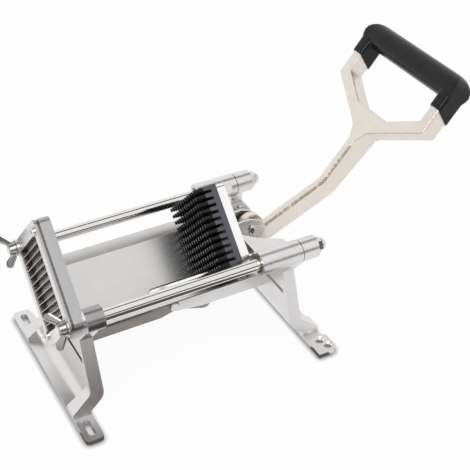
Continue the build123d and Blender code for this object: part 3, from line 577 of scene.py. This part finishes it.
class BuildHead(CutterOperator, bpy.types.Operator):
    """Plates of the blade head, with broken edges, bright faces and two button screws; the dark blade finish
    is painted as shade on the clamp's sides and the opening's walls
    """
    bl_idname = "cutter.head"
    bl_label = "Blade head"

    def build(self, context):
        edges = context.scene.cutter_edges
        grid = context.scene.cutter_grid
        opening = grid.cell * grid.cells / sqrt(2) + 0.5 * MM     # half diagonal
        for node, share in (("blade_cassette", 1.0), ("clamp_plate", 1.4), ("blade_holder", 3)):
            clamp = node == "clamp_plate"
            plate = dressed(node, "head_metal", edges.plate * share)
            repaint(plate, "head_face", lambda place, normal: abs(normal.x) > 0.97)
            # painted shade: the clamp's sides, deep in the groove that draw_in leaves, and the walls of the
            # head's opening take the dark blade finish
            repaint(plate, "blade_steel", lambda place, normal: abs(normal.x) <= 0.97 and (
                clamp or self.from_axis(place) < opening))
            if clamp:
                self.draw_in(plate, opening * 1.1)
        dressed("head_screws", "nickel", edges.fastener)

    def from_axis(self, place):
        """Distance from the head's axis, measured the way a square on its corner grows."""
        return abs(place.y) + abs(place.z - ROD_HEIGHT)

    def draw_in(self, plate, beyond):
        """Shrinks the plate's outline a little, so that it leaves a groove in the head's side."""
        groove = 0.982
        for vertex in plate.data.vertices:
            if self.from_axis(vertex.co) > beyond:
                vertex.co.y *= groove
                vertex.co.z = ROD_HEIGHT + (vertex.co.z - ROD_HEIGHT) * groove


class BuildBlades(CutterOperator, bpy.types.Operator):
    """Two crossing rows of ground blades"""
    bl_idname = "cutter.blades"
    bl_label = "Blade grid"

    def build(self, context):
        grid = context.scene.cutter_grid
        tree = repeat_tree("Blade row", row_points)
        for node, turn in (("blades_front", -1), ("blades_rear", 1)):
            (start, _, _), (stop, _, _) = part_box(node)
            if node == "blades_front":
                start = BLADE_FRONT
            obj = repeated(f"{node}_ground", self.blade(grid, stop - start), tree,
                           {"Count": grid.cells - 1, "Pitch": grid.cell, "Finish": finish_of("blade_steel")})
            place = (Matrix.Translation((start, 0, ROD_HEIGHT))
                     @ Matrix.Rotation(turn * radians(45), 4, "X"))
            obj.data.transform(place)
            finish_piece(obj, body_of(node), "blade_steel", nodes=(node,))

    def blade(self, grid, depth):
        """One blade at the origin, lying along Y, with its edge towards -X."""
        half, side = grid.cell * grid.cells / 2, grid.blade / 2
        thin = 0.22 * MM
        section = [(0.0, -thin), (grid.edge, -side), (depth, -side),
                   (depth, side), (grid.edge, side), (0.0, thin)]
        return loft([[(x, y, z) for x, z in section] for y in (-half, half)])


class BuildWingNuts(CutterOperator, bpy.types.Operator):
    """Two cast wing nuts with their washers"""
    bl_idname = "cutter.wing_nuts"
    bl_label = "Wing nuts"

    def build(self, context):
        edges = context.scene.cutter_edges
        for side in SIDES:
            node = f"wing_nut_{side}"
            nut = new_piece(f"{node}_cast", self.nut(ROD_AXIS[side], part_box(node)[1][0]))
            rounded_off(nut, 0.24 * MM, 3)
            nut.data.shade_smooth()
            # the wing nuts get the half-strength nickel as painted shade
            finish_piece(nut, body_of(node), "nickel", "wing_nickel", (node,))
            dressed(f"wing_washer_{side}", "nickel", edges.fastener)

    def nut(self, axis, seat):
        """Short conical hub with two dished wings."""
        bore, hub, thick = 4.1, 7.0, 2.6
        profile = [(0, bore), (0, 6.6), (1.2, 6.5), (hub - 0.8, 5.4), (hub, 4.9), (hub, bore), (0, bore)]
        bm = lathe([(seat - x * MM, radius * MM) for x, radius in profile], axis, 40)
        bmesh.ops.remove_doubles(bm, verts=bm.verts, dist=MICRON)
        outline = [(4.5, 1.0), (7.0, 1.0), (11.5, 4.4), (17.0, 8.6), (16.6, 12.6), (14.4, 14.0),
                   (10.6, 12.8), (7.2, 8.6), (4.5, 6.0)]
        middle = Matrix.Translation((0, 0, -thick / 2 * MM))
        upright = Matrix(((0, 1, 0, seat), (1, 0, 0, axis.y), (0, 0, -1, axis.z), (0, 0, 0, 1)))
        centre = Matrix.Translation((0, axis.y, axis.z))
        for degrees in (28, 208):
            wing = prism([(y * MM, -x * MM) for y, x in outline], thick * MM, middle)
            sides = [face for face in wing.faces if len(face.verts) > 4]
            bmesh.ops.inset_individual(wing, faces=sides, thickness=1.5 * MM, depth=-0.65 * MM)
            turn = Matrix.Rotation(radians(degrees), 4, "X")
            wing.transform(centre @ turn @ centre.inverted() @ upright)
            absorb(bm, wing)
        bmesh.ops.recalc_face_normals(bm, faces=bm.faces)
        return bm


class BuildRods(CutterOperator, bpy.types.Operator):
    """Ground guide rods with threaded studs, and the cap nuts behind them"""
    bl_idname = "cutter.rods"
    bl_label = "Guide rods"

    def build(self, context):
        edges = context.scene.cutter_edges
        pitch = edges.thread
        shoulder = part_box("blade_holder")[1][0]
        for side in SIDES:
            node = f"guide_rod_{side}"
            low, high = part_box(node)
            radius, stud = (high[2] - low[2]) / 2, 4.0 * MM
            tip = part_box(f"wing_nut_{side}")[1][0] - 8.3 * MM
            rear = high[0] - 5.5 * MM
            profile = [(tip, 0), (tip, stud * 0.75), (tip + 0.5 * MM, stud * 0.88)]
            x = tip + 0.6 * MM
            while x < HEAD_FRONT - pitch:
                profile += [(x, stud * 0.86), (x + pitch / 2, stud)]
                x += pitch
            profile += [(x, stud), (shoulder, stud), (shoulder, radius), (rear, radius), (rear, stud),
                        (high[0], stud), (high[0], 0)]
            rod = new_piece(f"{node}_ground", lathe(profile, ROD_AXIS[side]))
            smooth_by_angle(rod, 35)
            finish_piece(rod, body_of(node), "rod_steel", nodes=(node,))
            dressed(f"cap_nut_{side}", "nickel", edges.fastener)


class BuildLegs(CutterOperator, bpy.types.Operator):
    """Front and rear leg castings with their feet"""
    bl_idname = "cutter.legs"
    bl_label = "Leg castings"

    def build(self, context):
        edges = context.scene.cutter_edges
        legs = [dressed(node, "cast_metal", edges.casting, angle=24.0) for node in ("front_leg", "rear_leg")]
        # painted shade: the round sides of the bosses behind the head get the darkened casting finish
        repaint(legs[0], "turned_boss", self.on_boss)

    def on_boss(self, place, normal):
        """Whether a face is the round side of a boss behind the head."""
        low, high = BOSS_REACH
        return abs(normal.x) < 0.5 and any(low < hypot(place.y - axis.y, place.z - axis.z) < high
                                           for axis in ROD_AXIS.values())


class BuildTray(CutterOperator, bpy.types.Operator):
    """Bent tray and its screws"""
    bl_idname = "cutter.tray"
    bl_label = "Tray"

    def build(self, context):
        edges = context.scene.cutter_edges
        dressed("tray", "sheet_steel", edges.sheet)
        dressed("tray_screws", "nickel", edges.fastener)


class BuildCarriage(CutterOperator, bpy.types.Operator):
    """Sliding carriage with its bushes and screws"""
    bl_idname = "cutter.carriage"
    bl_label = "Carriage"

    def build(self, context):
        edges = context.scene.cutter_edges
        carriage = dressed("carriage", "cast_metal", edges.casting * 0.6)
        # painted highlight: the plate's edge faces, in front of this X, get the near-white rim colour
        rim = PUSHER_BACK + 8.2 * MM
        repaint(carriage, "bright_rim", lambda place, normal: abs(normal.x) < 0.3 and place.x < rim)
        for side in SIDES:
            dressed(f"sleeve_bush_{side}", "bronze", edges.sheet)
        for node in ("side_screws", "pusher_screws", "clevis_screws"):
            dressed(node, "nickel", edges.fastener)


class BuildPusher(CutterOperator, bpy.types.Operator):
    """Black pusher with a field of tapered fingers"""
    bl_idname = "cutter.pusher"
    bl_label = "Pusher"

    def build(self, context):
        grid = context.scene.cutter_grid
        tree = repeat_tree("Finger field", grid_points)
        fingers = repeated("pusher_fingers", self.finger(grid), tree,
                           {"Count": grid.cells, "Pitch": grid.cell, "Finish": finish_of("pusher_plastic")})
        bm = bmesh.new()
        bm.from_mesh(fingers.data)
        bpy.data.objects.remove(fingers)
        half = ((grid.cells - 1) * grid.cell + grid.finger) / 2
        upright = Matrix(((0, 0, -1, 0), (1, 0, 0, 0), (0, 1, 0, 0), (0, 0, 0, 1)))
        base = prism(rounded_square(half, 1.5 * MM, 4), grid.base, upright)
        bmesh.ops.bevel(base, geom=[edge for edge in base.edges if edge.calc_face_angle(0) > 1.0],
                        offset=0.4 * MM, segments=2, affect="EDGES")
        absorb(bm, base)
        # the band round the base, marked outer, is where the painted sheen goes
        outer, rubbed = half - 0.35 * MM, -grid.base - 7.0 * MM
        layer = bm.verts.layers.float.new("outer")
        for vertex in bm.verts:
            x, y, z = vertex.co
            vertex[layer] = float(max(abs(y), abs(z)) > outer and x > rubbed)
        bm.transform(Matrix.Translation((PUSHER_BACK, 0, ROD_HEIGHT)) @ Matrix.Rotation(radians(45), 4, "X"))
        pusher = new_piece("pusher_moulding", bm)
        smooth_by_angle(pusher, 40)
        finish_piece(pusher, body_of("pusher_block"), "pusher_plastic", nodes=("pusher_block",))

    def finger(self, grid):
        """One finger at the origin, its root in the base and its rounded tip towards -X."""
        front = -grid.base
        straight = front - 6.6 * MM
        tip = front - grid.finger_length
        root, ribs = grid.finger / 2, 4
        levels = [(front + 0.5 * MM, root, 1.05), (straight, root, 1.05)]
        pitch = (straight - tip) / ribs
        for rib in range(ribs):
            start = straight - rib * pitch
            half = root + (grid.finger_tip - grid.finger) / 2 * (rib + 0.6) / ribs
            for along, swell, corner in ((0.15, -0.42, 0.7), (0.42, -0.42, 0.7), (0.52, 0.05, 0.9),
                                         (0.92, -0.02, 0.9)):
                levels.append((start - along * pitch, half + swell * MM, corner))
        levels.append((tip, levels[-1][1] - 0.45 * MM, 0.7))
        return loft([[(x, y, z) for y, z in rounded_square(half, min(corner * MM, half * 0.8), 2)]
                     for x, half, corner in levels])


class BuildClevis(CutterOperator, bpy.types.Operator):
    """Bent bracket with the lever's pivot bolt, nut, washers and spacers"""
    bl_idname = "cutter.clevis"
    bl_label = "Clevis and pivot"

    def build(self, context):
        edges = context.scene.cutter_edges
        dressed("clevis_bracket", "sheet_steel", edges.sheet * 1.5)
        for node in ("pivot_bolt", "pivot_nut"):
            dressed(node, "nickel", edges.fastener)
        for side in SIDES:
            dressed(f"pivot_washer_{side}", "nickel", edges.fastener)
            dressed(f"pivot_spacer_{side}", "bronze", edges.fastener)
        dressed("lever_bush", "bronze", edges.fastener)


class BuildLever(CutterOperator, bpy.types.Operator):
    """Cast lever with its loop, rounded and grained like a sand casting"""
    bl_idname = "cutter.lever"
    bl_label = "Lever"

    def build(self, context):
        grain = context.scene.cutter_edges.lever_grain

        def roughen(mesh):
            """Raises the grain, and nicks the near upper edge where the mould's halves met."""
            places = [vertex.co.copy() for vertex in mesh.vertices]
            normals = [vertex.normal.copy() for vertex in mesh.vertices]
            amounts, moved = [], []
            for place, normal in zip(places, normals):
                spot = place / MM
                height = noise.noise(spot * 0.55) + 0.6 * noise.noise(spot * 0.16)
                amount = self.nick(spot, normal) if self.on_edge(place, normal) else 0.0
                amounts.append(amount)
                moved.extend(place + normal * (height * grain - amount * 2.2 * grain))
            nicks = mesh.attributes.new("nicks", "FLOAT", "POINT")
            nicks.data.foreach_set("value", self.spread(mesh, amounts))
            mesh.vertices.foreach_set("co", moved)
            mesh.update()

        recast("lever", "cast_metal", 0.8 * MM, 4, material="lever_metal", shape=roughen)
        dressed("handle_core", "rod_steel", context.scene.cutter_edges.fastener)

    def on_edge(self, place, normal):
        """Whether a point lies on the upper near edge of the shaft."""
        return normal.z > 0.1 and normal.y < -0.08 and place.x < SHAFT_END[0] and place.z < SHAFT_END[1]

    def nick(self, spot, normal):
        """How deep the edge is torn at a spot, from 0 to 1: uneven, and most where it turns."""
        ridge = min(1.0, 1.7 * (1.0 - min(1.0, abs(-normal.y - 0.52) / 0.45)))
        torn = noise.noise(spot * 0.30) + 0.7 * noise.noise(spot * 0.85)
        return ridge * min(1.0, max(0.0, 0.9 + 1.5 * torn))

    def spread(self, mesh, amounts):
        """Lets the torn marks run out over their neighbours, weaker at each step."""
        pairs = [tuple(edge.vertices) for edge in mesh.edges]
        for _ in range(2):
            wider = amounts[:]
            for one, other in pairs:
                wider[one] = max(wider[one], 0.72 * amounts[other])
                wider[other] = max(wider[other], 0.72 * amounts[one])
            amounts = wider
        return amounts


class BuildGrip(CutterOperator, bpy.types.Operator):
    """Black moulded grip with rounded sleeves"""
    bl_idname = "cutter.grip"
    bl_label = "Grip"

    def build(self, context):
        recast("grip", "grip_rubber", 0.7 * MM, 6)


class BuildLinkage(CutterOperator, bpy.types.Operator):
    """Fulcrum pin, tie bars and link plates under the tray"""
    bl_idname = "cutter.linkage"
    bl_label = "Linkage"

    def build(self, context):
        edges = context.scene.cutter_edges
        for side in SIDES:
            dressed(f"tie_bar_{side}", "strip_steel", edges.sheet)
            dressed(f"link_plate_{side}", "strip_steel", edges.sheet)
        for node in ("fulcrum_pin", "fulcrum_nut", "tie_screws", "link_rivets"):
            dressed(node, "nickel", edges.fastener)


# ---------------------------------------------------------------- stage

def lamp(name, at, towards, size, watts, shines=True):
    data = bpy.data.lights.new(name, "AREA")
    data.shape = "RECTANGLE"
    data.size = data.size_y = size
    data.energy = watts
    obj = bpy.data.objects.new(name, data)
    obj.location = at
    obj.rotation_euler = (Vector(towards) - Vector(at)).to_track_quat("-Z", "Y").to_euler()
    obj.visible_glossy = shines
    bpy.context.scene.collection.objects.link(obj)


def card(name, corners, grey):
    """A plain card that only reflections see."""
    bm = bmesh.new()
    bm.faces.new([bm.verts.new(corner) for corner in corners])
    obj = new_piece(name, bm)
    material = bpy.data.materials.new(name)
    material.use_nodes = True
    nodes = material.node_tree.nodes
    nodes.remove(nodes["Principled BSDF"])
    glow = nodes.new("ShaderNodeEmission")
    glow.inputs["Color"].default_value = (*grey, 1.0)
    material.node_tree.links.new(glow.outputs[0], nodes["Material Output"].inputs["Surface"])
    obj.data.materials.append(material)
    for ray in ("camera", "diffuse", "transmission", "volume_scatter", "shadow"):
        setattr(obj, f"visible_{ray}", False)


class BuildStage(CutterOperator, bpy.types.Operator):
    """Camera, pale floor with painted contact shade, soft lamps, white surroundings and grey cards for
    reflections
    """
    bl_idname = "cutter.stage"
    bl_label = "Stage"

    def build(self, context):
        self.camera(context)
        self.surroundings(context)
        self.floor(context)
        lamp("key_lamp", (-0.7, -0.9, 1.5), (0.12, 0.0, 0.08), 0.9, 9.0)
        lamp("fill_lamp", (1.1, -1.0, 1.0), (0.15, 0.0, 0.1), 1.0, 5.0, shines=False)
        card("floor_card", ((-0.03, -0.7, 0.001), (0.235, -0.7, 0.001), (0.235, -0.078, 0.001),
                            (-0.03, -0.078, 0.001)), (0.12, 0.105, 0.10))
        card("top_card", ((-0.6, 0.03, 0.75), (1.4, 0.03, 0.75), (1.4, 0.26, 0.75), (-0.6, 0.26, 0.75)),
             (0.06, 0.055, 0.05))
        card("side_card", ((-0.6, -1.0, 0.16), (1.6, -1.0, 0.16), (1.6, -1.0, 0.50), (-0.6, -1.0, 0.50)),
             (0.07, 0.06, 0.055))

    def camera(self, context):
        data = bpy.data.cameras.new("camera")
        data.lens = 83.458
        data.sensor_width = 36
        obj = bpy.data.objects.new("camera", data)
        forward = Vector((0.383, 0.713, -0.587)).normalized()
        right = Vector((forward.y, -forward.x, 0)).normalized()
        up = right.cross(forward)
        turn = Matrix((right, up, -forward)).transposed().to_4x4()
        turn.translation = Vector((-0.2019, -0.7205, 0.6879))
        obj.matrix_world = turn
        context.scene.collection.objects.link(obj)
        context.scene.camera = obj

    def seen(self, tree):
        """A factor that is 1 for what the camera, reflections and glass see."""
        path = tree.nodes.new("ShaderNodeLightPath")
        seen = path.outputs["Is Camera Ray"]
        for label in ("Is Glossy Ray", "Is Transmission Ray"):
            seen = math_node(tree.nodes, tree.links, "MAXIMUM", seen, path.outputs[label])
        return seen

    def surroundings(self, context):
        world = bpy.data.worlds.new("surroundings")
        context.scene.world = world
        world.use_nodes = True
        tree = world.node_tree
        sky = tree.nodes["Background"]
        sky.inputs["Color"].default_value = (1, 1, 1, 1)
        dim = 0.7
        strength = math_node(tree.nodes, tree.links, "MULTIPLY", self.seen(tree), 1 - dim)
        tree.links.new(math_node(tree.nodes, tree.links, "ADD", strength, dim), sky.inputs["Strength"])

    def floor(self, context):
        size = 4.0
        bm = bmesh.new()
        bm.faces.new([bm.verts.new(corner) for corner in
                      ((-size, -size, 0), (size, -size, 0), (size, size, 0), (-size, size, 0))])
        floor = new_piece("floor", bm)
        material = bpy.data.materials.new("pale_floor")
        material.use_nodes = True
        tree = material.node_tree
        nodes, links = tree.nodes, tree.links
        surface = nodes["Principled BSDF"]
        surface.inputs["Base Color"].default_value = (*context.scene.cutter_colours.floor, 1.0)
        surface.inputs["Roughness"].default_value = 0.9
        surface.inputs["Specular IOR Level"].default_value = 0.0
        glow = nodes.new("ShaderNodeEmission")
        glow.inputs["Color"].default_value = (1, 1, 1, 1)
        mix = nodes.new("ShaderNodeMixShader")
        links.new(math_node(nodes, links, "MULTIPLY", self.seen(tree), 0.93), mix.inputs["Fac"])
        links.new(surface.outputs[0], mix.inputs[1])
        # painted shade: the floor's glow dims where ambient occlusion finds the object within 5 mm, as a
        # contact shadow round the feet and inside their slots
        near = nodes.new("ShaderNodeAmbientOcclusion")
        near.samples = 8
        near.inputs["Distance"].default_value = 5 * MM
        links.new(math_node(nodes, links, "POWER", near.outputs["AO"], 1.4), glow.inputs["Strength"])
        links.new(glow.outputs[0], mix.inputs[2])
        links.new(mix.outputs[0], nodes["Material Output"].inputs["Surface"])
        floor.data.materials.append(material)


# ---------------------------------------------------------------- panel and start

BUILDERS = (BuildStage, BuildHead, BuildBlades, BuildWingNuts, BuildRods, BuildLegs, BuildTray,
            BuildCarriage, BuildPusher, BuildClevis, BuildLever, BuildGrip, BuildLinkage)
GROUPS = {"cutter_grid": CutterGrid, "cutter_edges": CutterEdges, "cutter_colours": CutterColours}


class CutterPanel(bpy.types.Panel):
    """Lists the sizes, the colours and the building steps"""
    bl_idname = "VIEW3D_PT_cutter"
    bl_label = "Fry cutter"
    bl_space_type = "VIEW_3D"
    bl_region_type = "UI"
    bl_category = "Fry cutter"

    def draw(self, context):
        for key, group in GROUPS.items():
            box = self.layout.box()
            for field in group.__annotations__:
                box.prop(getattr(context.scene, key), field)
        for builder in BUILDERS:
            self.layout.operator(builder.bl_idname)


def register():
    for group in GROUPS.values():
        bpy.utils.register_class(group)
    for key, group in GROUPS.items():
        setattr(bpy.types.Scene, key, PointerProperty(type=group))
    for builder in BUILDERS:
        bpy.utils.register_class(builder)
    bpy.utils.register_class(CutterPanel)


def unregister():
    bpy.utils.unregister_class(CutterPanel)
    for builder in reversed(BUILDERS):
        bpy.utils.unregister_class(builder)
    for key, group in GROUPS.items():
        delattr(bpy.types.Scene, key)
        bpy.utils.unregister_class(group)


def main():
    register()
    bpy.context.scene.view_settings.view_transform = "Standard"
    for builder in BUILDERS:
        family, step = builder.bl_idname.split(".")
        getattr(getattr(bpy.ops, family), step)()


if __name__ == "__main__":
    main()
